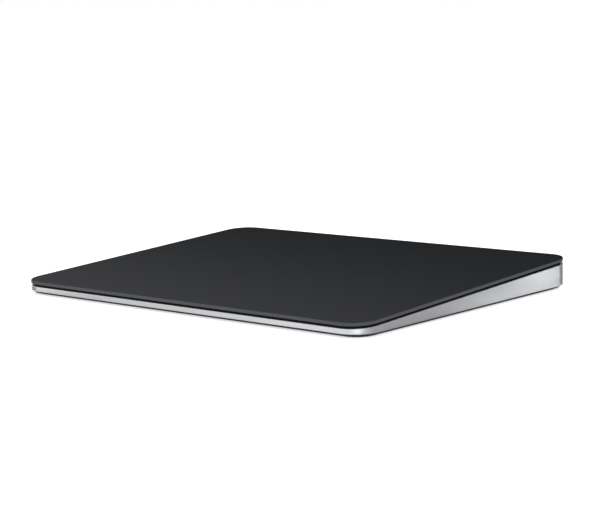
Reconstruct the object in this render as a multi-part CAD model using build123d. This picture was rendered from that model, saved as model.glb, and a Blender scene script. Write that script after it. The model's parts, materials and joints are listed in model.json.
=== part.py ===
from build123d import *
import os

# A wedge-shaped wireless trackpad that rests on a desk. A black glass sheet covers the top and
# tilts towards the user. It is carried on four bending beams in a machined aluminium tray, and
# an electromagnet taps it sideways. All lengths are in millimetres. +X is the user's right, +Y
# points away from the user and +Z is up. The origin is on the desk, under the middle of the pad.

# Overall size in plan
width = 160.0
depth = 114.9
corner_radius = 8.4

# Layers at the front edge, from the desk up, measured straight up
foot_drop = 0.5
base_thickness = 0.7
base_film_thickness = 0.1
floor_thickness = 0.7
front_clearance = 0.65
backing_thickness = 0.6
sensor_board_thickness = 0.45
glass_film_thickness = 0.1
glass_thickness = 1.1

# How much higher the rear edge of the glass stands than its front edge
wedge_rise = 6.0

# Motion of the glass: pressed down towards the stop pads, and tapped back and forth
press_travel = 0.25
tap_travel = 0.2

# What the moving plate keeps clear of beyond its travel: pads, parts below, the ring, poles, screws
stop_clearance = 0.05
plate_air = 0.35
plate_side_gap = 0.3
pole_gap = 0.25
access_gap = 0.4

# Small fits, and how far a cut runs past what it cuts
seat_gap = 0.05
screw_gap = 0.05
overrun = 2.0

# Glass sheet and what is bonded under it
glass_top_chamfer = 0.12
glass_bottom_chamfer = 0.12
backing_step = 0.5
backing_window = 18.0
backing_window_radius = 2.0
backing_window_gap = 8.0
backing_window_count = 4

# Tray
wall_thickness = 1.6
lip_thickness = 0.8
rim_gap = 0.8
rim_chamfer = 0.1
tray_bottom_chamfer = 0.12

# Black ring on the ledge of the tray, and its stop pads
frame_thickness = 0.85
frame_inner_inset = 3.1
stop_pad_length = 7.0
stop_pad_width = 1.1
stop_pad_inset = 2.2
stop_pad_thickness = 0.08
stop_pad_spacing_x = 52.0
stop_pad_spacing_y = 60.0

# Base plate and feet
base_inset = 1.2
base_edge_fillet = 0.25
foot_radius = 6.5
foot_from_edge = 13.5
foot_pocket = 0.2
foot_edge_fillet = 0.2

# Bending beams, with their shoes, pads, gauges and bosses
beam_thickness = 0.4
beam_width = 6.0
beam_neck_width = 3.6
beam_span = 19.0
beam_end = 3.6
beam_from_wall = 7.0
beam_tip_from_wall = 10.0
shoe_thickness = 0.2
shoe_width = 5.0
shoe_length = 5.6
gel_thickness = 0.25
gel_margin = 0.3
gauge_thickness = 0.06
gauge_width = 2.4
gauge_length = 5.0
boss_width = 8.0
boss_length = 7.6
beam_screw_pitch = 3.6

# Screws: radius of head and shank, height of head, reach into the metal below
beam_screw_head = 1.2
beam_screw_head_height = 0.35
beam_screw_shank = 0.6
beam_screw_length = 1.6
small_screw_head = 1.1
small_screw_head_height = 0.45
small_screw_shank = 0.6
small_screw_bite = 0.3
drive_radius = 0.45
drive_depth = 0.2

# Electromagnet on the floor behind the middle of the pad
core_count = 4
core_gap = 2.6
core_width = 12.4
core_yoke = 2.6
core_leg_length = 6.8
core_outer_leg = 1.8
core_centre_leg = 3.0
coil_slot_gap = 0.5
coil_face_build = 0.45
coil_nose_gap = 1.3
coil_gap = 0.06
coil_corner_radius = 0.6
bracket_thickness = 0.4
bracket_rail = 0.5
bracket_margin = 0.8
bracket_ear = 4.4
bracket_ear_rise = 0.7
ear_boss_radius = 1.8

# Steel bar under the backing plate, in front of the poles
bar_thickness = 1.6
bar_flange_thickness = 0.6
bar_flange_width = 5.4
bar_floor_gap = 0.85
bar_screw_count = 4

# Battery, in front of the rear board
battery_aisle = 7.3
battery_depth = 36.0
battery_tape_thickness = 0.15
battery_tape_depth = 8.0
battery_edge_fillet = 1.1
terrace_length = 4.6
terrace_thickness = 0.4
circuit_thickness = 0.6
circuit_length = 30.0
circuit_margin = 0.4
lead_thickness = 0.15
lead_width = 2.6

# Rear board, from which the socket, the switch and the radio work
io_thickness = 0.8
io_depth = 9.0
io_wall_gap = 0.3
io_left = 24.0
standoff_height = 0.8
standoff_radius = 1.9
row_gap = 1.5
io_screw_from_end = 2.4
radio_can_length = 11.0
radio_can_front_gap = 0.65
radio_can_height = 1.5
can_corner_radius = 0.4
connector_height = 0.9
connector_depth = 2.2
sensor_connector_length = 6.6
battery_connector_length = 3.2
haptic_connector_length = 4.6
charger_chip = 3.6
charger_chip_height = 0.8
inductor = 3.2
inductor_height = 1.4
small_chip = 2.0
small_chip_height = 0.6
small_chip_count = 3

# Charging socket in the rear face
port_width = 8.94
port_height = 3.16
port_depth = 7.3
port_sheet = 0.3
port_recess = 0.1
port_opening_gap = 0.1
port_tab_length = 1.6
port_tab_width = 1.0
insulator_depth = 1.4
tongue_side_gap = 0.825
tongue_thickness = 0.7
tongue_recess = 0.6
contact_count = 12
contact_side_gap = 0.47
contact_root_gap = 0.8
contact_tip_gap = 0.25
contact_width = 0.25
contact_thickness = 0.05

# Power switch in the rear face
switch_from_side = 34.0
window_length = 10.0
window_height = 3.4
bezel_sheet = 0.35
bezel_floor = 0.6
knob_end_gap = 0.3
knob_recess = 0.1
knob_side_gap = 0.12
knob_groove_pitch = 1.0
knob_groove_width = 0.4
knob_groove_depth = 0.2
knob_groove_height = 1.5
switch_travel = 3.0
neck_length = 1.6
neck_height = 1.0
neck_gap = 0.15
lever_length = 3.0
lever_height = 1.8
lever_depth = 1.4
lever_socket = 0.6
switch_body_length = 9.4
switch_body_depth = 3.6
switch_body_back = 1.2
marker_thickness = 0.1
marker_margin = 0.25
marker_side_gap = 0.75

# Aerial at the left of the rear wall
aerial_from_side = 16.0
aerial_board_gap = 10.0
aerial_depth = 2.8
aerial_height = 4.4
aerial_wall_gap = 0.1
trace_thickness = 0.08
trace_width = 0.5
trace_pitch = 1.5
trace_margin = 1.2
cable_radius = 0.45
cable_landing = 4.0
cable_bend = 2.0

# Flat cables
flex_thickness = 0.15
flex_width = 4.0
gauge_flex_width = 3.0
gauge_flex_thickness = 0.12
flex_rise_run = 1.5
sensor_flex_width = 6.0
sensor_flex_bend = 0.9
sensor_flex_tail = 0.8

# Chips under the sensor board and the can over them
chip_window_length = 34.0
chip_window_width = 18.0
chip_window_x = -34.0
main_chip = 9.0
motion_chip = 6.5
driver_chip = 4.4
chip_height = 0.85
shield_depth = 0.5
shield_sheet = 0.15
shield_margin = 1.0

# How nearly upright a face's normal must be to count as facing up or down
level_share = 0.9

# Heights that follow from the layers
front_height = (foot_drop + base_thickness + base_film_thickness + floor_thickness + front_clearance
                + backing_thickness + sensor_board_thickness + glass_film_thickness + glass_thickness)
base_bottom = foot_drop
base_top = base_bottom + base_thickness
tray_bottom = base_top + base_film_thickness
floor_top = tray_bottom + floor_thickness
slope = wedge_rise / depth
tall = front_height + wedge_rise + overrun

# Drops: how far a layer's face lies straight below the top of the glass
film_drop = glass_thickness
sensor_board_drop = film_drop + glass_film_thickness
backing_drop = sensor_board_drop + sensor_board_thickness
stack_drop = backing_drop + backing_thickness
rim_drop = glass_thickness + rim_gap
stop_pad_drop = glass_thickness + press_travel + stop_clearance
frame_drop = stop_pad_drop + stop_pad_thickness
ledge_drop = frame_drop + frame_thickness
shoe_drop = stack_drop + gel_thickness
beam_drop = shoe_drop + shoe_thickness
boss_drop = beam_drop + beam_thickness
chip_drop = backing_drop + chip_height
shield_drop = stack_drop + shield_depth

# Inside faces of the tray's walls, and how far in the layers of the moving plate are set
inner_x = width / 2 - wall_thickness
inner_y = depth / 2 - wall_thickness
stack_inset = frame_inner_inset + plate_side_gap + tap_travel
backing_inset = stack_inset + backing_step

# Rows on the floor of the tray, from the rear wall forwards
io_rear = inner_y - io_wall_gap
io_front = io_rear - io_depth
battery_rear = io_front - row_gap
battery_front = battery_rear - battery_depth
stator_rear = battery_front - row_gap
stator_front = stator_rear - core_yoke - core_leg_length
stator_middle = (stator_front + stator_rear) / 2
bar_rear = stator_front - pole_gap - tap_travel
bar_front = bar_rear - bar_thickness
flange_front = bar_rear - bar_flange_width

# Columns on the floor of the tray, from the side walls inwards
beam_x = inner_x - beam_from_wall
gauge_flex_out = beam_x - boss_width / 2 - seat_gap
gauge_flex_in = gauge_flex_out - gauge_flex_width
battery_half = gauge_flex_in - battery_aisle - terrace_length
haptic_flex_x = battery_half + row_gap + flex_width / 2
switch_x = width / 2 - switch_from_side
io_right = max(haptic_flex_x + flex_width / 2, switch_x + switch_body_length / 2) + 2 * io_screw_from_end

# Levels of the rear board, and the axis shared by socket and switch
io_bottom = floor_top + standoff_height
io_top = io_bottom + io_thickness
port_z = io_top + port_height / 2


def glass_z(y):
    """Height of the top of the glass above the line across the pad at y."""
    return front_height + slope * (y + depth / 2)


def ceiling(y):
    """Highest that a fixed piece may reach at y, with the plate pressed down."""
    return glass_z(y) - stack_drop - press_travel - plate_air


def plan(inset):
    """Outline of the pad, set in by an amount on every side."""
    return RectangleRounded(width - 2 * inset, depth - 2 * inset, corner_radius - inset)


def slab(top_drop, bottom_drop):
    """Everything between two planes parallel to the glass."""
    near = -depth / 2 - overrun
    far = depth / 2 + overrun
    outline = [
        (near, glass_z(near) - bottom_drop),
        (far, glass_z(far) - bottom_drop),
        (far, glass_z(far) - top_drop),
        (near, glass_z(near) - top_drop),
    ]
    section = Plane.YZ * make_face(Polyline(*outline, close=True))
    return extrude(section, amount=width / 2 + overrun, both=True)


def layer(sketch, top_drop, bottom_drop):
    """A sheet parallel to the glass with upright edges."""
    return extrude(sketch, amount=tall) & slab(top_drop, bottom_drop)


def column(sketch, bottom_z, top_drop):
    """A piece with a level bottom whose top is parallel to the glass."""
    return extrude(Pos(0, 0, bottom_z) * sketch, amount=tall) & slab(top_drop, top_drop + tall)


def level(sketch, bottom_z, top_z):
    """A piece with level bottom and top."""
    return extrude(Pos(0, 0, bottom_z) * sketch, amount=top_z - bottom_z)


def rect(x1, x2, y1, y2):
    """A rectangle in plan given by its limits, each pair in either order."""
    return Pos((x1 + x2) / 2, (y1 + y2) / 2) * Rectangle(abs(x2 - x1), abs(y2 - y1))


def block(x1, x2, y1, y2, z_low, z_high):
    """A box given by its limits in plan, and its bottom and top."""
    return level(rect(x1, x2, y1, y2), z_low, z_high)


def prism_y(sketch, x, z, y_low, y_high):
    """A piece whose section, drawn as seen from the front, runs from y_low to y_high."""
    face = Plane(origin=(x, y_high, z), x_dir=(1, 0, 0), z_dir=(0, -1, 0)) * sketch
    return extrude(face, amount=y_high - y_low)


def spread(low, high, sizes):
    """Centres of items of the given sizes, with equal gaps between and beside them."""
    gap = (high - low - sum(sizes)) / (len(sizes) + 1)
    centres = []
    edge = low
    for size in sizes:
        centres.append(edge + gap + size / 2)
        edge += gap + size
    return centres


def top_edges(shape):
    """Edges of the face that looks up."""
    return [f for f in shape.faces() if f.normal_at().Z > level_share][0].edges()


def bottom_edges(shape):
    """Edges of the face that looks down."""
    return [f for f in shape.faces() if f.normal_at().Z < -level_share][0].edges()


def deck(x, y, drop):
    """A plane parallel to the glass, at a drop below its top."""
    return Plane(origin=(x, y, glass_z(y) - drop), x_dir=(1, 0, 0), z_dir=(0, -slope, 1))


def group(solids):
    """Several separate solids in one node."""
    return Compound(children=list(solids))


def screw(place, head, head_height, shank, length):
    """A screw whose head sits on the plane, with a six-sided drive."""
    whole = extrude(Circle(head), amount=head_height) + extrude(Circle(shank), amount=-length)
    drive = Pos(0, 0, head_height - drive_depth) * RegularPolygon(drive_radius, 6)
    return place * (whole - extrude(drive, amount=overrun))


def small_screw(place, length):
    return screw(place, small_screw_head, small_screw_head_height, small_screw_shank, length)


def screw_hole(place, shank, length):
    """The hole that a screw's shank runs in, with its gap all round and below."""
    bore = Circle(shank + screw_gap)
    return place * (extrude(bore, amount=-length - screw_gap) + extrude(bore, amount=screw_gap))


def through_hole(place, shank):
    """A hole that runs past both faces of a thin sheet at the plane."""
    return place * extrude(Circle(shank + screw_gap), amount=overrun, both=True)


# Corners of the pad, by name, with the signs of their x and y
corners = {
    "front_left": (-1, -1),
    "front_right": (1, -1),
    "rear_left": (-1, 1),
    "rear_right": (1, 1),
}
beam_tip_y = inner_y - beam_tip_from_wall
anchor_y = beam_tip_y - beam_span


def beam_screw_places(drop):
    places = []
    for side, end in corners.values():
        for step in (-1, 1):
            places.append(deck(side * beam_x, end * anchor_y + step * beam_screw_pitch / 2, drop))
    return places


def io_screw_places(z):
    """Two screws at the rear corners of the rear board and one between socket and switch."""
    rear = io_rear - io_screw_from_end
    middle_x = (port_width / 2 + switch_x - switch_body_length / 2) / 2
    return [
        Plane((-io_left + io_screw_from_end, rear, z)),
        Plane((middle_x, io_front + io_screw_from_end, z)),
        Plane((io_right - io_screw_from_end, rear, z)),
    ]


stator_half = (core_count * core_width + (core_count - 1) * core_gap) / 2 + bracket_margin
ear_bottom = floor_top + bracket_ear_rise
ear_top = ear_bottom + bracket_thickness


def haptic_screw_places(z):
    return [Plane((side * (stator_half + bracket_ear / 2), stator_middle, z)) for side in (-1, 1)]


# Enclosure

def enclosure():
    """Tray with a floor, four walls, a ledge for the black ring, bosses and rear cut-outs."""
    body = column(plan(0), tray_bottom, rim_drop)
    body = chamfer(top_edges(body), rim_chamfer)
    body = chamfer(bottom_edges(body), tray_bottom_chamfer)
    body -= level(plan(wall_thickness), floor_top, tall)
    body -= layer(plan(lip_thickness), 0, ledge_drop)
    root = floor_top - floor_thickness / 2
    for side, end in corners.values():
        boss = Pos(side * beam_x, end * anchor_y) * Rectangle(boss_width, boss_length)
        body += column(boss, root, boss_drop)
    for place in io_screw_places(root):
        body += place * extrude(Circle(standoff_radius), amount=io_bottom - root)
    for place in haptic_screw_places(root):
        body += place * extrude(Circle(ear_boss_radius), amount=ear_bottom - root)
    for place in beam_screw_places(boss_drop):
        body -= screw_hole(place, beam_screw_shank, beam_screw_length - beam_thickness)
    for place in io_screw_places(io_bottom):
        body -= screw_hole(place, small_screw_shank, standoff_height + small_screw_bite)
    for place in haptic_screw_places(ear_bottom):
        body -= screw_hole(place, small_screw_shank, bracket_ear_rise + small_screw_bite)
    mouth = SlotOverall(port_width + 2 * port_opening_gap, port_height + 2 * port_opening_gap)
    body -= prism_y(mouth, 0, port_z, inner_y - overrun, depth / 2 + overrun)
    window = SlotOverall(window_length, window_height)
    return body - prism_y(window, switch_x, port_z, inner_y - overrun, depth / 2 + overrun)


# Base plate, its bonding film and the feet

foot_x = width / 2 - foot_from_edge
foot_y = depth / 2 - foot_from_edge
foot_top = base_bottom + foot_pocket


def base_plate():
    body = level(plan(base_inset), base_bottom, base_top)
    body = fillet(bottom_edges(body), base_edge_fillet)
    pocket = level(Circle(foot_radius + seat_gap), base_bottom - overrun, foot_top)
    for side, end in corners.values():
        body -= Pos(side * foot_x, end * foot_y) * pocket
    return body


def base_film():
    return level(plan(base_inset + base_thickness), base_top, tray_bottom)


def foot(side, end):
    body = Pos(side * foot_x, end * foot_y) * level(Circle(foot_radius), 0, foot_top)
    return fillet(bottom_edges(body), foot_edge_fillet)


# Black ring on the ledge, with the pads that stop the glass

def trim_frame():
    return layer(plan(lip_thickness + seat_gap) - plan(frame_inner_inset), frame_drop, ledge_drop)


def stop_pads():
    side_x = width / 2 - stop_pad_inset
    side_y = depth / 2 - stop_pad_inset
    across = Rectangle(stop_pad_length, stop_pad_width)
    along = Rectangle(stop_pad_width, stop_pad_length)
    pads = []
    for side in (-1, 1):
        for step in (-1, 1):
            pads.append(Pos(step * stop_pad_spacing_x / 2, side * side_y) * across)
            pads.append(Pos(side * side_x, step * stop_pad_spacing_y / 2) * along)
    return group(layer(pad, stop_pad_drop, frame_drop) for pad in pads)


# The moving plate: glass, film, sensor board and backing plate

def touch_glass():
    body = layer(plan(0), 0, glass_thickness)
    body = chamfer(top_edges(body), glass_top_chamfer)
    return chamfer(bottom_edges(body), glass_bottom_chamfer)


def glass_film():
    return layer(plan(stack_inset), film_drop, sensor_board_drop)


def sensor_board():
    return layer(plan(stack_inset), sensor_board_drop, backing_drop)


chip_middle_y = (flange_front - inner_y) / 2
chip_front = chip_middle_y - chip_window_width / 2
chip_rear = chip_middle_y + chip_window_width / 2
chip_left = chip_window_x - chip_window_length / 2
chip_right = chip_window_x + chip_window_length / 2
connector_front = io_front + row_gap
connector_rear = connector_front + connector_depth
sensor_connector_x = -io_left + battery_connector_length + 3 * row_gap + sensor_connector_length / 2


def chip_window(margin):
    return rect(chip_left - margin, chip_right + margin, chip_front - margin, chip_rear + margin)


def sensor_connector(margin):
    half = sensor_connector_length / 2 + margin
    return rect(sensor_connector_x - half, sensor_connector_x + half,
                connector_front - margin, connector_rear + margin)


def backing_plate():
    """Steel stiffener with windows, and slots over the screws of the beams."""
    body = layer(plan(backing_inset), backing_drop, stack_drop)
    window = RectangleRounded(backing_window, backing_window, backing_window_radius)
    battery_middle = (battery_front + battery_rear) / 2
    cuts = [chip_window(0), sensor_connector(row_gap)]
    for place in GridLocations(backing_window + backing_window_gap, 0, backing_window_count, 1):
        cuts.append(Pos(0, battery_middle) * place * window)
    hole = 2 * (beam_screw_head + access_gap + tap_travel)
    for side, end in corners.values():
        slot = Rot(0, 0, 90) * SlotOverall(beam_screw_pitch + hole, hole)
        cuts.append(Pos(side * beam_x, end * anchor_y) * slot)
    for cut in cuts:
        body -= extrude(cut, amount=tall)
    for place in bar_screw_places():
        body -= through_hole(place, small_screw_shank)
    return body


def controller_chips():
    """Chips in a row under the sensor board, and the socket of its flat cable."""
    sizes = [main_chip, motion_chip, driver_chip]
    chips = [layer(sensor_connector(0), backing_drop, backing_drop + connector_height)]
    for x, size in zip(spread(chip_left, chip_right, sizes), sizes):
        chips.append(layer(Pos(x, chip_middle_y) * Rectangle(size, size), backing_drop, chip_drop))
    return group(chips)


def chip_shield():
    """Pressed can, open upwards, over the chip window."""
    outer = layer(chip_window(shield_margin), stack_drop, shield_drop)
    room = chip_window(shield_margin - shield_sheet)
    return outer - layer(room, 0, shield_drop - shield_sheet)


def bar_screw_places():
    """Planes that face down, on the underside of the bar's flange."""
    y = (flange_front + bar_front) / 2
    z = glass_z(y) - stack_drop - bar_flange_thickness
    spacing = 2 * stator_half / bar_screw_count
    places = []
    for n in range(bar_screw_count):
        x = (n - (bar_screw_count - 1) / 2) * spacing
        places.append(Plane(origin=(x, y, z), x_dir=(1, 0, 0), z_dir=(0, slope, -1)))
    return places


def attraction_bar():
    """T-shaped steel bar: a flange under the backing plate and a blade in front of the poles."""
    flange = rect(-stator_half, stator_half, flange_front, bar_rear)
    body = layer(flange, stack_drop, stack_drop + bar_flange_thickness)
    blade = rect(-stator_half, stator_half, bar_front, bar_rear)
    body += column(blade, floor_top + bar_floor_gap, stack_drop)
    for place in bar_screw_places():
        body -= through_hole(place, small_screw_shank)
    return body


def bar_screws():
    length = bar_flange_thickness + backing_thickness / 2
    return group(small_screw(place, length) for place in bar_screw_places())


# Bending beams and what they carry

def beam_plan():
    """Strip that is wide at the anchor and the tip and narrow between them."""
    strip = Rectangle(beam_width, beam_span + 2 * beam_end)
    notch = Rectangle((beam_width - beam_neck_width) / 2, beam_span - 2 * beam_end)
    for hand in (-1, 1):
        strip -= Pos(hand * (beam_width + beam_neck_width) / 4, 0) * notch
    return strip


def at_beam(side, end, along):
    """Place on a beam's centre line, at a distance from its anchor towards its tip."""
    return Pos(side * beam_x, end * (anchor_y + along))


def force_beam(side, end):
    body = layer(at_beam(side, end, beam_span / 2) * beam_plan(), beam_drop, boss_drop)
    for place in beam_screw_places(beam_drop):
        body -= through_hole(place, beam_screw_shank)
    return body


def beam_shoe(side, end):
    return layer(at_beam(side, end, beam_span) * Rectangle(shoe_width, shoe_length), shoe_drop, beam_drop)


def gel_pads():
    pad = Rectangle(shoe_width - 2 * gel_margin, shoe_length - 2 * gel_margin)
    return group(layer(at_beam(side, end, beam_span) * pad, stack_drop, shoe_drop)
                 for side, end in corners.values())


def strain_gauges():
    gauge = Rectangle(gauge_width, gauge_length)
    return group(layer(at_beam(side, end, beam_span / 2) * gauge, beam_drop - gauge_thickness, beam_drop)
                 for side, end in corners.values())


def beam_screws():
    return group(screw(place, beam_screw_head, beam_screw_head_height, beam_screw_shank, beam_screw_length)
                 for place in beam_screw_places(beam_drop))


def gauge_flex(board_x):
    """Flat lead on the floor, from the bosses of one side to a board end, with tabs up to the beams."""
    y_turn = io_front + gauge_flex_width
    half = gauge_flex_width / 2
    skin = gauge_flex_thickness
    run = rect(gauge_flex_in, gauge_flex_out, -anchor_y - half, y_turn)
    turn = rect(board_x - flex_width, gauge_flex_out, y_turn - gauge_flex_width, y_turn)
    lead = level(run + turn, floor_top, floor_top + skin)
    lead += block(board_x - flex_width, board_x - flex_width / 2, y_turn - gauge_flex_width, y_turn,
                  floor_top, io_bottom)
    rise = gauge_flex_out - skin
    beam_side = beam_x - beam_width / 2 - seat_gap
    for end in (-1, 1):
        y_low = end * anchor_y - half
        y_high = end * anchor_y + half
        lead += column(rect(rise, gauge_flex_out, y_low, y_high), floor_top, boss_drop - skin)
        lead += layer(rect(rise, beam_side, y_low, y_high), boss_drop - skin, boss_drop)
    return lead


# Electromagnet

core_bottom = floor_top + bracket_thickness + bracket_rail
core_top = ceiling(stator_front) - coil_face_build
core_middle = (core_bottom + core_top) / 2
core_xs = [(n - (core_count - 1) / 2) * (core_width + core_gap) for n in range(core_count)]


def haptic_bracket():
    """Stamped base with a rail under the yokes and an ear over a boss at each end."""
    base_z = floor_top + bracket_thickness
    body = block(-stator_half, stator_half, stator_front, stator_rear, floor_top, base_z)
    body += block(-stator_half, stator_half, stator_rear - core_yoke, stator_rear, base_z, core_bottom)
    ear_front = stator_middle - bracket_ear / 2
    ear_rear = stator_middle + bracket_ear / 2
    for side in (-1, 1):
        bend = side * (stator_half - bracket_thickness)
        tip = side * (stator_half + bracket_ear)
        body += block(bend, side * stator_half, ear_front, ear_rear, floor_top, ear_top)
        body += block(bend, tip, ear_front, ear_rear, ear_bottom, ear_top)
    for place in haptic_screw_places(ear_bottom):
        body -= through_hole(place, small_screw_shank)
    return body


def haptic_cores():
    """Laminated E-shaped cores with their poles towards the bar."""
    outer = core_width / 2
    legs = [
        (-outer, -outer + core_outer_leg),
        (-core_centre_leg / 2, core_centre_leg / 2),
        (outer - core_outer_leg, outer),
    ]
    cores = []
    for x in core_xs:
        outline = rect(x - outer, x + outer, stator_rear - core_yoke, stator_rear)
        for low, high in legs:
            outline += rect(x + low, x + high, stator_front, stator_rear)
        cores.append(level(outline, core_bottom, core_top))
    return group(cores)


def haptic_coils():
    """Windings round the middle leg of each core."""
    core_high = core_top - core_bottom
    coil_wide = core_width - 2 * (core_outer_leg + coil_slot_gap)
    outer = RectangleRounded(coil_wide, core_high + 2 * coil_face_build, coil_corner_radius)
    inner = Rectangle(core_centre_leg + 2 * coil_gap, core_high + 2 * coil_gap)
    rear = stator_rear - core_yoke - coil_gap
    return group(prism_y(outer - inner, x, core_middle, stator_front + coil_nose_gap, rear) for x in core_xs)


def haptic_screws():
    length = bracket_thickness + bracket_ear_rise + small_screw_bite
    return group(small_screw(place, length) for place in haptic_screw_places(ear_top))


def haptic_flex():
    """Flat cable from the bracket round the battery, up and over the front edge of the rear board."""
    half = flex_thickness / 2
    low = floor_top + half
    high = io_top + half
    y_start = stator_middle + bracket_ear / 2 + seat_gap
    foot_of_rise = io_front - flex_rise_run
    top_of_rise = io_front - seat_gap - flex_thickness
    path = Polyline((y_start, low), (foot_of_rise, low), (top_of_rise, high), (connector_front, high))
    ribbon = extrude(Plane.YZ * trace(path, flex_thickness), amount=flex_width / 2, both=True)
    across = block(stator_half + seat_gap, haptic_flex_x + flex_width / 2, y_start, y_start + flex_width,
                   floor_top, floor_top + flex_thickness)
    return Pos(haptic_flex_x, 0, 0) * ribbon + across


# Battery

cell_bottom = floor_top + battery_tape_thickness
cell_top = ceiling(battery_front)
terrace_top = io_top - circuit_thickness
terrace_front = battery_front + battery_edge_fillet
terrace_rear = battery_rear - battery_edge_fillet
circuit_left = -battery_half - terrace_length


def battery_cell():
    """Pouch cell with rounded long edges and a sealed terrace at its left end."""
    body = block(-battery_half, battery_half, battery_front, battery_rear, cell_bottom, cell_top)
    body = fillet(body.edges().filter_by(Axis.X), battery_edge_fillet)
    return body + block(circuit_left, -battery_half + terrace_length, terrace_front, terrace_rear,
                        terrace_top - terrace_thickness, terrace_top)


def battery_tape():
    """Two strips of bonding tape under the cell."""
    half = battery_half - battery_tape_depth / 2
    return group([
        block(-half, half, terrace_front, terrace_front + battery_tape_depth, floor_top, cell_bottom),
        block(-half, half, terrace_rear - battery_tape_depth, terrace_rear, floor_top, cell_bottom),
    ])


def battery_circuit():
    return block(circuit_left, -battery_half - circuit_margin, terrace_rear - circuit_length, terrace_rear,
                 terrace_top, io_top)


def battery_lead():
    """Flat lead from the cell's circuit to the left end of the rear board."""
    row_rear = connector_front + lead_width
    run = rect(circuit_left, circuit_left + lead_width, terrace_rear - 2 * lead_width, row_rear)
    turn = rect(circuit_left, -io_left + battery_connector_length, connector_front, row_rear)
    return level(run + turn, io_top, io_top + lead_thickness)


# Rear board and what it carries

radio_can_left = -io_left + 2 * io_screw_from_end


def io_board():
    body = block(-io_left, io_right, io_front, io_rear, io_bottom, io_top)
    for place in io_screw_places(io_top):
        body -= through_hole(place, small_screw_shank)
    return body


def io_screws():
    length = io_thickness + standoff_height + small_screw_bite
    return group(small_screw(place, length) for place in io_screw_places(io_top))


def radio_can():
    front = connector_rear + radio_can_front_gap
    rear = io_rear - seat_gap
    outline = RectangleRounded(radio_can_length, rear - front, can_corner_radius)
    centre = Pos(radio_can_left + radio_can_length / 2, (front + rear) / 2)
    return level(centre * outline, io_top, io_top + radio_can_height)


def io_chips():
    """Charger, its inductor and a driver in the rear row, and small parts in the front row."""
    left = port_width / 2 + port_tab_width
    right = switch_x - switch_body_length / 2
    rear = io_rear - row_gap / 2
    sizes = [charger_chip, inductor, charger_chip]
    heights = [charger_chip_height, inductor_height, charger_chip_height]
    parts = []
    for x, size, height in zip(spread(left, right, sizes), sizes, heights):
        parts.append(block(x - size / 2, x + size / 2, rear - size, rear, io_top, io_top + height))
    front = io_front + row_gap / 2
    half = small_chip / 2
    for x in spread(left, (left + right) / 2 - small_screw_head, small_chip_count * [small_chip]):
        parts.append(block(x - half, x + half, front, front + half, io_top, io_top + small_chip_height))
    return group(parts)


def flex_connectors():
    """Sockets of the flat cables on the rear board."""
    top = io_top + connector_height
    half = haptic_connector_length / 2
    return group([
        block(-io_left, -io_left + battery_connector_length, connector_front, connector_front + lead_width,
              io_top + lead_thickness, top),
        level(sensor_connector(0), io_top, top),
        block(haptic_flex_x - half, haptic_flex_x + half, connector_front, connector_rear, io_top, top),
    ])


def sensor_flex():
    """Flat cable that loops from the rear board up to the sensor board."""
    half = flex_thickness / 2
    low = io_top + connector_height + half
    high = glass_z(connector_front) - backing_drop - connector_height - half
    loop = connector_front - row_gap + half + seat_gap
    path = FilletPolyline((connector_rear, low), (loop, low), (loop, high),
                          (connector_front + sensor_flex_tail, high), radius=sensor_flex_bend)
    ribbon = Plane.YZ * trace(path, flex_thickness)
    return Pos(sensor_connector_x, 0, 0) * extrude(ribbon, amount=sensor_flex_width / 2, both=True)


# Charging socket

port_mouth = depth / 2 - port_recess
port_front = port_mouth - port_depth
tongue_width = port_width - 2 * (port_sheet + tongue_side_gap)


def port_bore():
    return SlotOverall(port_width - 2 * port_sheet, port_height - 2 * port_sheet)


def port_shell():
    """Drawn steel shell, open at both ends, with a soldered tab on each side."""
    body = prism_y(SlotOverall(port_width, port_height) - port_bore(), 0, port_z, port_front, port_mouth)
    y_low = port_front + port_sheet
    y_high = y_low + port_tab_length
    for side in (-1, 1):
        inside = side * (port_width / 2 - port_sheet)
        outside = side * port_width / 2
        tip = side * (port_width / 2 + port_tab_width)
        body += block(inside, outside, y_low, y_high, io_top, port_z)
        body += block(inside, tip, y_low, y_high, io_top, io_top + port_sheet)
    return body


def port_insulator():
    """Plastic block that closes the shell at the back and carries the tongue."""
    root = port_front + insulator_depth
    body = prism_y(port_bore(), 0, port_z, port_front, root)
    tongue = RectangleRounded(tongue_width, tongue_thickness, tongue_thickness / 4)
    return body + prism_y(tongue, 0, port_z, port_front + insulator_depth / 2, port_mouth - tongue_recess)


def port_contacts():
    """Two rows of contact strips on the faces of the tongue."""
    front = port_front + insulator_depth + contact_root_gap
    rear = port_mouth - tongue_recess - contact_tip_gap
    pitch = (tongue_width - 2 * contact_side_gap - contact_width) / (contact_count - 1)
    strips = []
    half = contact_width / 2
    for z in (port_z + tongue_thickness / 2, port_z - tongue_thickness / 2 - contact_thickness):
        for n in range(contact_count):
            x = (n - (contact_count - 1) / 2) * pitch
            strips.append(block(x - half, x + half, front, rear, z, z + contact_thickness))
    return group(strips)


# Power switch

bezel_length = window_length - 2 * seat_gap
bezel_height = window_height - 2 * seat_gap
cup_length = bezel_length - 2 * bezel_sheet
cup_height = bezel_height - 2 * bezel_sheet
cup_floor = inner_y + bezel_floor
knob_length = cup_length - switch_travel - 2 * knob_end_gap
knob_x = switch_x + switch_travel / 2
knob_rear = depth / 2 - knob_recess
slot_half = (neck_length + switch_travel) / 2 + neck_gap
lever_rear = inner_y - io_wall_gap - seat_gap
marker_left = switch_x - cup_length / 2 + marker_margin
marker_right = switch_x - slot_half - marker_margin


def marker(y_high):
    """The coloured patch's outline, from the bottom of its pocket up to y_high."""
    outline = Rectangle(marker_right - marker_left, cup_height - 2 * marker_side_gap)
    return prism_y(outline, (marker_left + marker_right) / 2, port_z, cup_floor - marker_thickness, y_high)


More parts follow.
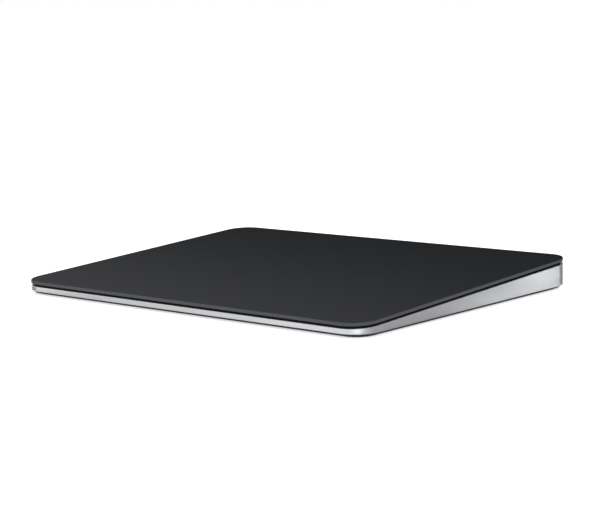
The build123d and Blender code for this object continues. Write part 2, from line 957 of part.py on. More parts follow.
def switch_bezel():
    """Cup in the window of the rear wall, with a slot in its floor for the neck."""
    body = prism_y(SlotOverall(bezel_length, bezel_height), switch_x, port_z, inner_y, depth / 2 - seat_gap)
    body -= prism_y(SlotOverall(cup_length, cup_height), switch_x, port_z, cup_floor, depth / 2)
    slot = Rectangle(2 * slot_half, neck_height + 2 * neck_gap)
    body -= prism_y(slot, switch_x, port_z, inner_y - overrun, depth / 2)
    return body - marker(depth / 2)


def on_marker():
    """Coloured patch in the floor of the cup, bare while the switch is on."""
    return marker(cup_floor)


def switch_knob():
    """Thumb slider with three grip grooves and a neck that reaches through the wall."""
    face = SlotOverall(knob_length, cup_height - 2 * knob_side_gap)
    body = prism_y(face, knob_x, port_z, cup_floor + seat_gap, knob_rear)
    groove = Rectangle(knob_groove_width, knob_groove_height)
    groove_floor = knob_rear - knob_groove_depth
    for n in (-1, 0, 1):
        body -= prism_y(groove, knob_x + n * knob_groove_pitch, port_z, groove_floor, depth / 2)
    neck = Rectangle(neck_length, neck_height)
    neck_end = groove_floor - knob_groove_depth
    return body + prism_y(neck, knob_x, port_z, lever_rear - lever_socket, neck_end)


def switch_lever():
    """Sliding piece inside the switch, which the neck plugs into."""
    face = Rectangle(lever_length, lever_height)
    body = prism_y(face, knob_x, port_z, lever_rear - lever_depth, lever_rear)
    socket = Rectangle(neck_length + 2 * seat_gap, neck_height + 2 * seat_gap)
    return body - prism_y(socket, knob_x, port_z, lever_rear - lever_socket, depth / 2)


def switch_body():
    """Case of the switch on the rear board, open to the rear along the lever's travel."""
    front = lever_rear - switch_body_depth
    body = block(switch_x - switch_body_length / 2, switch_x + switch_body_length / 2,
                 front, lever_rear, io_top, 2 * port_z - io_top)
    half_room = (lever_length + switch_travel) / 2 + neck_gap
    half_high = lever_height / 2 + seat_gap
    return body - block(switch_x - half_room, switch_x + half_room, front + switch_body_back, depth / 2,
                        port_z - half_high, port_z + half_high)


# Aerial

aerial_left = -width / 2 + aerial_from_side
aerial_right = -io_left - aerial_board_gap
aerial_rear = inner_y - aerial_wall_gap
aerial_front = aerial_rear - aerial_depth
aerial_top = floor_top + aerial_height


def antenna_carrier():
    """Plastic block against the rear wall, hollow underneath."""
    body = block(aerial_left, aerial_right, aerial_front, aerial_rear, floor_top, aerial_top)
    return body - block(aerial_left + trace_margin, aerial_right - trace_margin, aerial_front - overrun,
                        aerial_rear - trace_margin, floor_top - overrun, aerial_top - trace_margin)


def antenna_trace():
    """Folded conductor on top of the carrier."""
    low = aerial_front + trace_margin / 2
    high = aerial_rear - trace_margin / 2
    end = aerial_right - cable_landing - 2 * trace_margin
    x = aerial_left + trace_margin
    y, other = low, high
    points = [(x, y)]
    while x + trace_pitch < end:
        points.append((x, other))
        x += trace_pitch
        points.append((x, other))
        y, other = other, y
    return level(trace(Polyline(*points), trace_width), aerial_top, aerial_top + trace_thickness)


def antenna_cable():
    """Thin round cable from the carrier down to the can of the radio."""
    y = (aerial_front + aerial_rear) / 2
    high = aerial_top + seat_gap + cable_radius
    low = io_top + radio_can_height + seat_gap + cable_radius
    path = FilletPolyline((aerial_right - cable_landing, y, high), (aerial_right, y, high),
                          (radio_can_left - cable_bend, y, low), (radio_can_left + cable_landing, y, low),
                          radius=cable_bend)
    return sweep(Plane(origin=path @ 0, z_dir=path % 0) * Circle(cable_radius), path=path)


nodes = {
    "enclosure": enclosure(),
    "base_film": base_film(),
    "base_plate": base_plate(),
    "trim_frame": trim_frame(),
    "stop_pads": stop_pads(),
    "touch_glass": touch_glass(),
    "glass_film": glass_film(),
    "sensor_board": sensor_board(),
    "backing_plate": backing_plate(),
    "controller_chips": controller_chips(),
    "chip_shield": chip_shield(),
    "attraction_bar": attraction_bar(),
    "bar_screws": bar_screws(),
    "gel_pads": gel_pads(),
    "strain_gauges": strain_gauges(),
    "beam_screws": beam_screws(),
    "gauge_flex_left": mirror(gauge_flex(io_left), about=Plane.YZ),
    "gauge_flex_right": gauge_flex(io_right),
    "haptic_bracket": haptic_bracket(),
    "haptic_cores": haptic_cores(),
    "haptic_coils": haptic_coils(),
    "haptic_screws": haptic_screws(),
    "haptic_flex": haptic_flex(),
    "battery_cell": battery_cell(),
    "battery_tape": battery_tape(),
    "battery_circuit": battery_circuit(),
    "battery_lead": battery_lead(),
    "io_board": io_board(),
    "io_screws": io_screws(),
    "io_chips": io_chips(),
    "radio_can": radio_can(),
    "flex_connectors": flex_connectors(),
    "sensor_flex": sensor_flex(),
    "port_shell": port_shell(),
    "port_insulator": port_insulator(),
    "port_contacts": port_contacts(),
    "switch_bezel": switch_bezel(),
    "on_marker": on_marker(),
    "switch_knob": switch_knob(),
    "switch_lever": switch_lever(),
    "switch_body": switch_body(),
    "antenna_carrier": antenna_carrier(),
    "antenna_trace": antenna_trace(),
    "antenna_cable": antenna_cable(),
}
for name, (side, end) in corners.items():
    nodes["foot_" + name] = foot(side, end)
    nodes["force_beam_" + name] = force_beam(side, end)
    nodes["beam_shoe_" + name] = beam_shoe(side, end)

os.makedirs("parts", exist_ok=True)
for name, shape in nodes.items():
    export_step(shape, f"parts/{name}.step")
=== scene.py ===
import json
import math

import bmesh
import bpy
from mathutils import Matrix, Vector

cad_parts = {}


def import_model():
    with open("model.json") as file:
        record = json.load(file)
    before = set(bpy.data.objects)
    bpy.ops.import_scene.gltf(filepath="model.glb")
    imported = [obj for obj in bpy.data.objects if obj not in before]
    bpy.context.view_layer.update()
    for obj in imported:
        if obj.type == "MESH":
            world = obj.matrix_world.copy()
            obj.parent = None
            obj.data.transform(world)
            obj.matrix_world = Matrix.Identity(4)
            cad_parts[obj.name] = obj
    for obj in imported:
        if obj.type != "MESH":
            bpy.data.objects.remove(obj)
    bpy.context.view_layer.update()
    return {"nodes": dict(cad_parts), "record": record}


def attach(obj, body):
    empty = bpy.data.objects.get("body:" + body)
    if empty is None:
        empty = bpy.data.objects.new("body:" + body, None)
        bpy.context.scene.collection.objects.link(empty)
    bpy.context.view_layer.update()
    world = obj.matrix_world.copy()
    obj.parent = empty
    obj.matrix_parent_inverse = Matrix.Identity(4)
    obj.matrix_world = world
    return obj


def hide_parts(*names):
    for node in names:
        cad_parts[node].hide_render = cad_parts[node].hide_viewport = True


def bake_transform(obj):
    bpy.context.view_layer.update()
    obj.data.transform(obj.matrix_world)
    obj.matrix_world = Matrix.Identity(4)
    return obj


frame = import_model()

# All lengths are in metres. The pad lies with its low edge towards -Y and its high rear edge at +Y.
MM = 0.001

# The touch surface rises evenly from the front edge to the rear edge.
PAD_WIDTH = 160.0 * MM
PAD_DEPTH = 114.9 * MM
CORNER_RADIUS = 8.4 * MM
FRONT_HEIGHT = 4.9 * MM
WEDGE_RISE = 6.0 * MM


def top_height(y):
    """Height of the touch surface above the desk at a place y."""
    return FRONT_HEIGHT + WEDGE_RISE * (y + PAD_DEPTH / 2) / PAD_DEPTH


# ---- finishes ----

def group_with(name, inputs, outputs):
    """A new shader node group, with defaults for its named inputs, and its input and output node."""
    group = bpy.data.node_groups.new(name, "ShaderNodeTree")
    for label, kind, value in inputs:
        socket = group.interface.new_socket(name=label, in_out="INPUT", socket_type=kind)
        socket.default_value = value
    for label, kind in outputs:
        group.interface.new_socket(name=label, in_out="OUTPUT", socket_type=kind)
    given = group.nodes.new("NodeGroupInput")
    put = group.nodes.new("NodeGroupOutput")
    return group, given, put


def add(tree, kind, inputs=None, **settings):
    """A new node with its settings and the values or links of its inputs."""
    node = tree.nodes.new(kind)
    for key, value in settings.items():
        setattr(node, key, value)
    for key, value in (inputs or {}).items():
        if isinstance(value, bpy.types.NodeSocket):
            tree.links.new(value, node.inputs[key])
        else:
            node.inputs[key].default_value = value
    return node


def relief(group, height, depth):
    """The normals of a surface that carries a pattern of a given depth."""
    bump = add(group, "ShaderNodeBump", {"Height": height, "Strength": 1.0, "Distance": depth})
    return bump.outputs["Normal"]


def blasted_grain():
    """Fine pits left by bead blasting or a spark-eroded mould, with slow drifts of tone."""
    group, given, put = group_with(
        "blasted_grain",
        [("Grain per metre", "NodeSocketFloat", 6000.0), ("Depth", "NodeSocketFloat", 0.000004),
         ("Drift per metre", "NodeSocketFloat", 60.0)],
        [("Normal", "NodeSocketVector"), ("Drift", "NodeSocketFloat")],
    )
    place = add(group, "ShaderNodeTexCoord").outputs["Object"]
    fine = add(group, "ShaderNodeTexNoise", {"Vector": place, "Scale": given.outputs["Grain per metre"],
                                             "Detail": 2.0, "Roughness": 0.6})
    drift = add(group, "ShaderNodeTexNoise", {"Vector": place, "Scale": given.outputs["Drift per metre"],
                                              "Detail": 3.0, "Roughness": 0.5})
    group.links.new(relief(group, fine.outputs["Fac"], given.outputs["Depth"]), put.inputs["Normal"])
    group.links.new(drift.outputs["Fac"], put.inputs["Drift"])
    return group


def rolled_lines():
    """Fine lines along one direction, as rolling and drawing leave them in sheet metal."""
    group, given, put = group_with(
        "rolled_lines",
        [("Along", "NodeSocketVector", (300.0, 9000.0, 9000.0)), ("Depth", "NodeSocketFloat", 0.000002)],
        [("Normal", "NodeSocketVector"), ("Lines", "NodeSocketFloat")],
    )
    place = add(group, "ShaderNodeTexCoord").outputs["Object"]
    drawn = add(group, "ShaderNodeVectorMath", {0: place, 1: given.outputs["Along"]}, operation="MULTIPLY")
    lines = add(group, "ShaderNodeTexNoise", {"Vector": drawn.outputs["Vector"], "Scale": 1.0,
                                              "Detail": 3.0, "Roughness": 0.6})
    group.links.new(relief(group, lines.outputs["Fac"], given.outputs["Depth"]), put.inputs["Normal"])
    group.links.new(lines.outputs["Fac"], put.inputs["Lines"])
    return group


GRAIN = blasted_grain()
LINES = rolled_lines()
COAT_ROUGHNESS = 0.2


def new_material(name):
    """A new material and the Principled shader that it starts with."""
    material = bpy.data.materials.new(name)
    material.use_nodes = True
    return material, material.node_tree.nodes["Principled BSDF"]


def finish_material(name, colour, roughness, metallic=0.0, specular=0.5, tone=0.06, rough_spread=0.08,
                    grain=None, lines=None, coat=0.0):
    """A Principled material. One of the two surface patterns drives its colour, roughness and relief."""
    material, shader = new_material(name)
    tree = material.node_tree
    shader.inputs["Metallic"].default_value = metallic
    shader.inputs["Specular IOR Level"].default_value = specular
    if coat:
        shader.inputs["Coat Weight"].default_value = coat
        shader.inputs["Coat Roughness"].default_value = COAT_ROUGHNESS
    surface = add(tree, "ShaderNodeGroup", node_tree=LINES if lines else GRAIN)
    for label, value in (lines or grain or {}).items():
        surface.inputs[label].default_value = value
    pattern = surface.outputs["Lines" if lines else "Drift"]
    tint = add(tree, "ShaderNodeMix", {"Factor": pattern}, data_type="RGBA")
    tint.inputs["A"].default_value = [c * (1 - tone) for c in colour] + [1.0]
    tint.inputs["B"].default_value = [min(1.0, c * (1 + tone)) for c in colour] + [1.0]
    tree.links.new(tint.outputs["Result"], shader.inputs["Base Color"])
    matte = add(tree, "ShaderNodeMapRange", {"Value": pattern, "To Min": roughness - rough_spread / 2,
                                             "To Max": roughness + rough_spread / 2})
    tree.links.new(matte.outputs["Result"], shader.inputs["Roughness"])
    tree.links.new(surface.outputs["Normal"], shader.inputs["Normal"])
    return material


FINISHES = {
    "aluminium_tray": finish_material("blasted_aluminium", (0.368, 0.375, 0.391), 0.36, metallic=1.0,
                                      tone=0.02, grain={"Grain per metre": 5000.0, "Depth": 0.000003}),
    "touch_glass": finish_material("satin_black_glass", (0.0149, 0.0162, 0.0186), 0.42, specular=0.0955,
                                   tone=0.02, rough_spread=0.02,
                                   grain={"Grain per metre": 9000.0, "Depth": 0.000001}),
    "bonding_film": finish_material("adhesive_film", (0.05, 0.05, 0.05), 0.5),
    "base_plastic": finish_material("base_plastic", (0.016, 0.016, 0.018), 0.6,
                                    grain={"Grain per metre": 3000.0, "Depth": 0.00001}),
    "frame_plastic": finish_material("black_frame_plastic", (0.016, 0.016, 0.016), 0.7, specular=0.05),
    "rubber": finish_material("foot_rubber", (0.075, 0.075, 0.077), 0.8, specular=0.3,
                              grain={"Grain per metre": 2500.0, "Depth": 0.00001}),
    "circuit_board": finish_material("solder_mask", (0.02, 0.12, 0.06), 0.35, coat=0.3),
    "steel_sheet": finish_material("rolled_sheet_steel", (0.55, 0.55, 0.56), 0.35, metallic=1.0,
                                   lines={"Depth": 0.000002}),
    "spring_steel": finish_material("spring_steel", (0.62, 0.62, 0.62), 0.28, metallic=1.0,
                                    lines={"Depth": 0.000001}),
    "core_steel": finish_material("stacked_laminations", (0.25, 0.25, 0.27), 0.45, metallic=1.0,
                                  lines={"Along": (200.0, 200.0, 9000.0)}),
    "copper": finish_material("enamelled_copper", (0.72, 0.34, 0.16), 0.3, metallic=1.0, coat=0.6,
                              lines={"Along": (4000.0, 4000.0, 9000.0), "Depth": 0.000006}),
    "screw_steel": finish_material("zinc_plated_steel", (0.42, 0.42, 0.44), 0.3, metallic=1.0),
    "socket_steel": finish_material("drawn_socket_steel", (0.58, 0.58, 0.59), 0.25, metallic=1.0,
                                    lines={"Along": (9000.0, 400.0, 9000.0), "Depth": 0.000001}),
    "gold_contact": finish_material("gold_plating", (0.86, 0.58, 0.20), 0.22, metallic=1.0, tone=0.03),
    "black_plastic": finish_material("black_moulded_plastic", (0.018, 0.018, 0.018), 0.42,
                                     grain={"Grain per metre": 6000.0, "Depth": 0.000004}),
    "chip_plastic": finish_material("chip_epoxy", (0.03, 0.03, 0.032), 0.6,
                                    grain={"Grain per metre": 8000.0, "Depth": 0.000006}),
    "flex_film": finish_material("amber_film", (0.36, 0.15, 0.03), 0.25, coat=0.4),
    "gel": finish_material("silicone_gel", (0.5, 0.5, 0.46), 0.3),
    "pouch_foil": finish_material("pouch_foil", (0.36, 0.37, 0.39), 0.4, metallic=0.8, tone=0.08,
                                  grain={"Grain per metre": 900.0, "Depth": 0.00003}),
    "switch_plastic": finish_material("pale_switch_plastic", (0.62, 0.63, 0.64), 0.4,
                                      grain={"Grain per metre": 6000.0, "Depth": 0.000004}),
    "marker_green": finish_material("green_marker_paint", (0.05, 0.42, 0.09), 0.4),
    "cable_jacket": finish_material("cable_jacket", (0.03, 0.03, 0.03), 0.45),
}
GROUND_EDGE = finish_material("ground_glass_edge", (0.0535, 0.056, 0.0615), 0.45, specular=0.58,
                              tone=0.03, grain={"Grain per metre": 6000.0, "Depth": 0.000003})

for row in frame["record"]["subparts"]:
    slots = frame["nodes"][row["node"]].data.materials
    for index in range(len(slots)):
        slots[index] = FINISHES[row["material_slot"]]


# ---- pieces made here ----

def mesh_object(name, bm, *materials):
    """Turns a bmesh into an object with its materials."""
    mesh = bpy.data.meshes.new(name)
    bm.to_mesh(mesh)
    bm.free()
    for material in materials:
        mesh.materials.append(material)
    made = bpy.data.objects.new(name, mesh)
    bpy.context.scene.collection.objects.link(made)
    return made


def new_piece(name, bm, materials, replaced):
    """Turns a bmesh into a finished piece, and hides the CAD nodes that it stands for."""
    piece = mesh_object(name, bm, *materials)
    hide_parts(*replaced)
    return piece


UPRIGHT_TOLERANCE = MM / 1000


def upright(edge):
    """Whether an edge runs straight up."""
    a, b = (vertex.co for vertex in edge.verts)
    return abs(a.x - b.x) < UPRIGHT_TOLERANCE and abs(a.y - b.y) < UPRIGHT_TOLERANCE


GLASS_THICKNESS = 1.1 * MM
GLASS_TOP_ROUNDING = 0.14 * MM
GLASS_LOWER_ROUNDING = 0.10 * MM
CORNER_SEGMENTS = 28
ROUNDING_SEGMENTS = 4
RIM_TOLERANCE = MM / 1000
FLAT_NORMAL = 0.999      # a face that looks straighter up or down than this is shaded flat
POLISHED_NORMAL = 0.75   # a face that looks further up than this belongs to the touch surface


def glass_sheet():
    """The touch glass: a flat sheet with round corners, its rim ground and its edges eased."""
    bm = bmesh.new()
    box = Matrix.Diagonal((PAD_WIDTH, PAD_DEPTH, GLASS_THICKNESS, 1.0))
    bmesh.ops.create_cube(bm, size=1.0, matrix=box)
    bmesh.ops.bevel(bm, geom=[e for e in bm.edges if upright(e)], offset=CORNER_RADIUS,
                    segments=CORNER_SEGMENTS, profile=0.5, affect="EDGES", material=-1)
    for side, offset in ((1, GLASS_TOP_ROUNDING), (-1, GLASS_LOWER_ROUNDING)):
        rim = [e for e in bm.edges if not upright(e)
               and all(v.co.z * side > GLASS_THICKNESS / 2 - RIM_TOLERANCE for v in e.verts)]
        bmesh.ops.bevel(bm, geom=rim, offset=offset, segments=ROUNDING_SEGMENTS, profile=0.5,
                        affect="EDGES", material=-1)
    for face in bm.faces:
        face.smooth = abs(face.normal.z) <= FLAT_NORMAL
        face.material_index = 0 if face.normal.z > POLISHED_NORMAL else 1
    tilt = Matrix.Identity(4)
    tilt[2][1] = WEDGE_RISE / PAD_DEPTH
    tilt[2][3] = top_height(0.0) - GLASS_THICKNESS / 2
    bmesh.ops.transform(bm, matrix=tilt, verts=bm.verts)
    sheet = new_piece("glass_sheet", bm, [FINISHES["touch_glass"], GROUND_EDGE],
                      ["touch_glass"])
    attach(sheet, "touch_plate")


# ---- pieces that lie between two bodies, cut into rings of edges ----

JOIN_DISTANCE = MM / 10000


def node_copy(name):
    """A CAD node's loose triangles, joined up."""
    bm = bmesh.new()
    bm.from_mesh(frame["nodes"][name].data)
    bmesh.ops.remove_doubles(bm, verts=bm.verts, dist=JOIN_DISTANCE)
    return bm


def cut_across(bm, places, direction):
    """Rings of edges across a piece, so that it can bend between them."""
    for place in places:
        bmesh.ops.bisect_plane(bm, geom=[*bm.verts, *bm.edges, *bm.faces], plane_co=place,
                               plane_no=direction)


def keep_beyond(bm, place, direction):
    """Cuts off what lies on the near side of a plane, and closes the cut."""
    cut = bmesh.ops.bisect_plane(bm, geom=[*bm.verts, *bm.edges, *bm.faces], plane_co=place,
                                 plane_no=direction, clear_inner=True)
    rim = [part for part in cut["geom_cut"] if isinstance(part, bmesh.types.BMEdge)]
    if rim:
        bmesh.ops.edgeloop_fill(bm, edges=rim)


SHARP_ANGLE = math.radians(30)


def bending_piece(name, bm, slot, bodies, start, end, replaced):
    """A piece made of a bmesh that stands for its CAD nodes, shaded smooth with its sharp edges kept. Its
    bodies, start and end are not used.
    """
    piece = new_piece(name, bm, [FINISHES[slot]], replaced)
    piece.data.shade_smooth()
    piece.data.set_sharp_from_angle(angle=SHARP_ANGLE)
    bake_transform(piece)


BEAM_ROOT, BEAM_TIP = 30.0 * MM, 43.0 * MM   # the free length of each spring beam, along y
BEAM_RINGS = 9


def spring_beams():
    """The four beams and the gauges on them, with rings of edges across the lengths that bend as the glass
    is pressed down.
    """
    rings = [BEAM_ROOT + (BEAM_TIP - BEAM_ROOT) * k / (BEAM_RINGS - 1) for k in range(BEAM_RINGS)]
    for end, toward in (("front", -1), ("rear", 1)):
        across = [(0.0, toward * ring, 0.0) for ring in rings]
        held = (("housing", "press_carriage"), across[0], across[-1])
        for side in ("left", "right"):
            node = f"force_beam_{end}_{side}"
            bm = node_copy(node)
            cut_across(bm, across, (0.0, 1.0, 0.0))
            bending_piece(f"spring_beam_{end}_{side}", bm, "spring_steel", *held, [node])
        bm = node_copy("strain_gauges")
        keep_beyond(bm, (0.0, 0.0, 0.0), (0.0, toward, 0.0))
        cut_across(bm, across, (0.0, 1.0, 0.0))
        bending_piece(f"gauges_{end}", bm, "flex_film", *held, ["strain_gauges"])


GEL_DROP = 2.495 * MM        # from the touch surface down to the underside of the gel
GEL_THICKNESS = 0.25 * MM


def gel_spacers():
    """The four gel pads, which shear as the magnet shifts the glass, as one smooth-shaded piece."""
    low = Vector((0.0, 0.0, top_height(0.0) - GEL_DROP))
    outward = Vector((0.0, -WEDGE_RISE / PAD_DEPTH, 1.0)).normalized()
    bending_piece("gel_spacers", node_copy("gel_pads"), "gel", ("press_carriage", "touch_plate"),
                  low, low + outward * GEL_THICKNESS, ["gel_pads"])


FLEX_SPLIT = 6.2 * MM   # height on the upright run of the sensor flex, half way up
FLEX_REACH = 1.2 * MM   # how far from there each half takes up the motion
FLEX_RINGS = 6


def sensor_flex_halves():
    """The sensor flex in two halves, with rings of edges near the split; in the pad, the lower half of the
    loop takes up the press, and the upper half takes up the shift.
    """
    for name, toward, bodies in (("sensor_flex_lower", -1, ("press_carriage", "housing")),
                                 ("sensor_flex_upper", 1, ("press_carriage", "touch_plate"))):
        bm = node_copy("sensor_flex")
        keep_beyond(bm, (0.0, 0.0, FLEX_SPLIT), (0.0, 0.0, toward))
        rings = [(0.0, 0.0, FLEX_SPLIT + toward * FLEX_REACH * k / FLEX_RINGS)
                 for k in range(1, FLEX_RINGS + 1)]
        cut_across(bm, rings, (0.0, 0.0, 1.0))
        bending_piece(name, bm, "flex_film", bodies, (0.0, 0.0, FLEX_SPLIT), rings[-1], ["sensor_flex"])


# ---- floor, light, cards and camera ----

WHITE = (1.0, 1.0, 1.0, 1.0)
PAPER_TONE = 0.9
FELT_TONE = 0.005
MATT_ROUGHNESS = 0.9


def matt_material(name, tone, glow=0.0):
    """Paper or felt without any shine. Its own glow is white."""
    material, shader = new_material(name)
    shader.inputs["Base Color"].default_value = (tone, tone, tone, 1.0)
    shader.inputs["Roughness"].default_value = MATT_ROUGHNESS
    shader.inputs["Specular IOR Level"].default_value = 0.0
    shader.inputs["Emission Color"].default_value = WHITE
    shader.inputs["Emission Strength"].default_value = glow
    return material


def level_sheet(middle, width, depth):
    """A bmesh of one rectangle that lies level."""
    bm = bmesh.new()
    bmesh.ops.create_grid(bm, x_segments=1, y_segments=1, size=0.5)
    laid = Matrix.Translation(middle) @ Matrix.Diagonal((width, depth, 1.0, 1.0))
    bmesh.ops.transform(bm, matrix=laid, verts=bm.verts)
    return bm


def is_seen(tree):
    """1 for camera, glossy and transmission rays, and 0 for the rays that light the object."""
    path = add(tree, "ShaderNodeLightPath")
    either = add(tree, "ShaderNodeMath", {0: path.outputs["Is Camera Ray"],
                                          1: path.outputs["Is Glossy Ray"]}, operation="MAXIMUM")
    any_of = add(tree, "ShaderNodeMath", {0: either.outputs["Value"],
                                          1: path.outputs["Is Transmission Ray"]}, operation="MAXIMUM")
    return any_of.outputs["Value"]


FLOOR_WIDTH = 24.0
FLOOR_DROP = 0.01 * MM  # keeps the floor clear of the undersides of the feet
FLOOR_GLOW = 0.28       # with the room light on it, this makes the floor white in reflections
CAMERA_GLOW = 0.34      # more of it for the camera, so that only a faint contact shadow is left


def floor():
    """The white paper that the pad lies on."""
    material = matt_material("pale_paper", PAPER_TONE)
    tree = material.node_tree
    glow = add(tree, "ShaderNodeMath", {0: is_seen(tree), 1: FLOOR_GLOW}, operation="MULTIPLY")
    path = add(tree, "ShaderNodeLightPath")
    glow = add(tree, "ShaderNodeMath", {0: path.outputs["Is Camera Ray"], 1: CAMERA_GLOW,
                                        2: glow.outputs["Value"]}, operation="MULTIPLY_ADD")
    tree.links.new(glow.outputs["Value"], tree.nodes["Principled BSDF"].inputs["Emission Strength"])
    bm = level_sheet((0.0, 0.0, -FLOOR_DROP), FLOOR_WIDTH, FLOOR_WIDTH)
    sheet = mesh_object("studio_floor", bm, material)


SHADE_SIDE_INSET, SHADE_END_INSET = 2.6 * MM, 3.1 * MM
SHADE_SEGMENTS = 8


def painted_pad_shade():
    """Painted shade: the paper under the pad, without the glow of the floor, so that it shows darker than
    the floor round it.
    """
    bm = level_sheet((0.0, 0.0, -FLOOR_DROP / 2), PAD_WIDTH - 2 * SHADE_SIDE_INSET,
                     PAD_DEPTH - 2 * SHADE_END_INSET)
    bmesh.ops.bevel(bm, geom=bm.verts, offset=CORNER_RADIUS - SHADE_SIDE_INSET,
                    segments=SHADE_SEGMENTS, affect="VERTICES", profile=0.5)
    sheet = mesh_object("painted_pad_shade", bm, matt_material("painted_shade_paper", PAPER_TONE))


WORLD_DIFFUSE = 0.80    # the strength of the room's light on the object, where it shows as 1


def world():
    """A white room."""
    scene = bpy.context.scene
    scene.world = bpy.data.worlds.new("studio_air")
    scene.world.use_nodes = True
    tree = scene.world.node_tree
    back = tree.nodes["Background"]
    back.inputs["Color"].default_value = WHITE
    strength = add(tree, "ShaderNodeMapRange", {"Value": is_seen(tree), "To Min": WORLD_DIFFUSE,
                                                "To Max": 1.0})
    tree.links.new(strength.outputs["Result"], back.inputs["Strength"])


LAMPS = [
    # name, place, width and height, power in watts, True where it shines on the aluminium alone
    ("overhead", (-0.15, -0.05, 1.0), (1.0, 1.0), 1.0, False),
    ("side_left", (-0.78, -0.2, 0.45), (0.5, 0.5), 0.8, False),
    ("side_right", (0.78, 0.1, 0.45), (0.5, 0.5), 0.8, False),
    ("corner_wide", (0.42, -0.42, 0.085), (0.25, 0.25), 1.5, True),
    ("rear_wide", (-0.17, 0.50, 0.14), (0.46, 0.25), 3.0, True),
    ("left_wide", (-0.55, 0.13, 0.14), (0.36, 0.25), 2.4, True),
]


def lamps(metal):
    """Soft lamps that point at the pad and that the camera doesn't see."""
    for name, place, size, power, metal_only in LAMPS:
        data = bpy.data.lights.new(name, "AREA")
        data.shape = "RECTANGLE"
        data.size, data.size_y = size
        data.energy = power
        lamp = bpy.data.objects.new(name, data)
        bpy.context.scene.collection.objects.link(lamp)
        lamp.location = place
        lamp.rotation_mode = "QUATERNION"
        lamp.rotation_quaternion = (-Vector(place)).to_track_quat("-Z", "Y")
        lamp.visible_camera = False
        if metal_only:
            lamp.light_linking.receiver_collection = metal


def only_reflected(card):
    """Keeps a card out of all but the reflections."""
    card.visible_camera = card.visible_diffuse = card.visible_shadow = False


STANDING_CARDS = [
    # name, middle of its lower edge, width, height, turn in degrees about the upright axis
    ("rear_card", (-0.16, 0.17), 0.9, 0.15, 0.0),
    ("left_card", (-0.40, -0.01), 0.36, 0.15, 90.0),
    ("right_card", (0.17, 0.05), 0.20, 0.10, 90.0),
]


def standing_cards():
    """Dark cards that stand near the pad, for the glass and the metal to reflect."""
    felt = matt_material("black_felt", FELT_TONE)
    for name, place, width, height, turn in STANDING_CARDS:
        bm = level_sheet((0.0, 0.0, 0.0), width, height)
        stand = (Matrix.Translation((*place, height / 2)) @ Matrix.Rotation(math.radians(turn), 4, "Z")
                 @ Matrix.Rotation(math.radians(90), 4, "X"))
        bmesh.ops.transform(bm, matrix=stand, verts=bm.verts)
        card = mesh_object(name, bm, felt)
        only_reflected(card)


FLAT_CARD_LIFT = 0.3 * MM
FLAT_CARDS = [
    # name, nearest left corner, farthest right corner, paper tone, glow that the aluminium alone sees
    ("front_first_card", (-0.080, -0.085), (-0.040, -0.059), 0.90, 0.66),
    ("front_second_card", (-0.040, -0.085), (0.0, -0.059), 0.90, 0.85),
    ("front_third_card", (0.0, -0.085), (0.034, -0.059), 0.90, 1.00),
    ("front_last_card", (0.034, -0.085), (0.064, -0.059), 0.90, 1.25),
    ("front_corner_card", (0.064, -0.090), (0.104, -0.059), 0.90, 1.25),
    ("right_front_card", (0.081, -0.050), (0.102, -0.014), 0.90, 0.16),
    ("right_first_card", (0.081, -0.004), (0.090, 0.012), 0.90, 0.60),
    ("right_second_card", (0.081, 0.012), (0.094, 0.032), 0.90, 1.0),
    ("right_third_card", (0.081, 0.032), (0.094, 0.058), 0.90, 1.20),
    ("right_end_card", (0.090, 0.058), (0.122, 0.082), 0.90, 2.6),
    ("right_far_card", (0.122, 0.082), (0.162, 0.106), 0.90, 1.6),
    ("right_dark_card", (0.081, 0.058), (0.090, 0.118), 0.0, 0.0),
    ("right_rear_card", (0.090, 0.082), (0.102, 0.118), 0.0, 0.0),
    ("left_face_card", (-0.100, -0.098), (-0.080, -0.066), 0.90, 3.4),
    ("left_corner_card", (-0.100, -0.066), (-0.080, -0.058), 0.0, 0.0),
    ("left_dark_card", (-0.150, -0.098), (-0.100, -0.058), 0.0, 0.0),
]


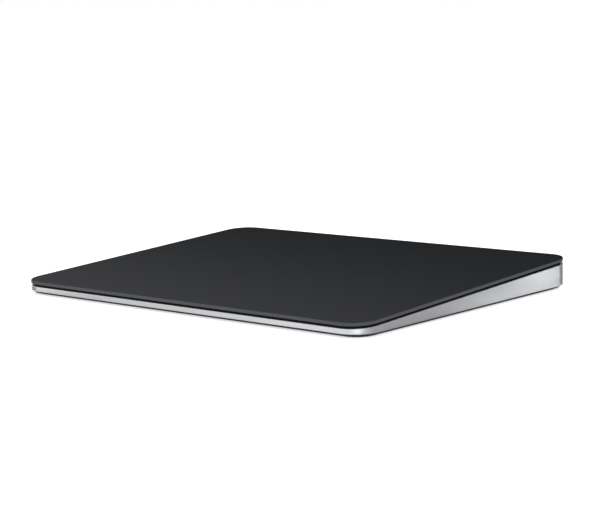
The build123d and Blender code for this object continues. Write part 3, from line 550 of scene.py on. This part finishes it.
def flat_cards(metal):
    """Pale and dark cards that lie round the pad, for the low metal walls to reflect."""
    for name, near, far, tone, glow in FLAT_CARDS:
        middle = ((near[0] + far[0]) / 2, (near[1] + far[1]) / 2, FLAT_CARD_LIFT)
        bm = level_sheet(middle, far[0] - near[0], far[1] - near[1])
        card = mesh_object(name, bm, matt_material(name + "_paper", tone, glow))
        only_reflected(card)
        card.light_linking.receiver_collection = metal


# The photo's own camera, from a fit to the edges of the pad. Its angles are in degrees.
AZIMUTH = 42.321
ELEVATION = 8.758
ROLL = -1.813
DISTANCE = 613.458 * MM
ACROSS, UPWARD = 2.866 * MM, 4.256 * MM
AIM_HEIGHT = 5.0 * MM
FOCAL_PIXELS, PHOTO_WIDTH = 1728.195, 600
SENSOR_WIDTH = 36.0     # in millimetres, like the focal length
CLIP_NEAR, CLIP_FAR = 0.01, 100.0


def camera():
    """Looks at the pad from where the photo was taken."""
    az, el, roll = (math.radians(a) for a in (AZIMUTH, ELEVATION, ROLL))
    back = Vector((math.sin(az) * math.cos(el), -math.cos(az) * math.cos(el), math.sin(el)))
    level = (-back).cross(Vector((0, 0, 1))).normalized()
    rise = level.cross(-back)
    across = math.cos(roll) * level + math.sin(roll) * rise
    up = math.cos(roll) * rise - math.sin(roll) * level
    data = bpy.data.cameras.new("camera")
    data.sensor_fit = "HORIZONTAL"
    data.sensor_width = SENSOR_WIDTH
    data.lens = FOCAL_PIXELS / PHOTO_WIDTH * SENSOR_WIDTH
    data.clip_start, data.clip_end = CLIP_NEAR, CLIP_FAR
    eye = bpy.data.objects.new("camera", data)
    bpy.context.scene.collection.objects.link(eye)
    place = back * DISTANCE + across * ACROSS + up * UPWARD + Vector((0, 0, AIM_HEIGHT))
    turn = Matrix((across, up, back)).transposed().to_4x4()
    eye.matrix_world = Matrix.Translation(place) @ turn
    bpy.context.scene.camera = eye


glass_sheet()
spring_beams()
gel_spacers()
sensor_flex_halves()

aluminium = bpy.data.collections.new("aluminium")
aluminium.objects.link(bpy.data.objects["enclosure"])

floor()
painted_pad_shade()
world()
lamps(aluminium)
standing_cards()
flat_cards(aluminium)
camera()
bpy.context.scene.view_settings.view_transform = "Standard"
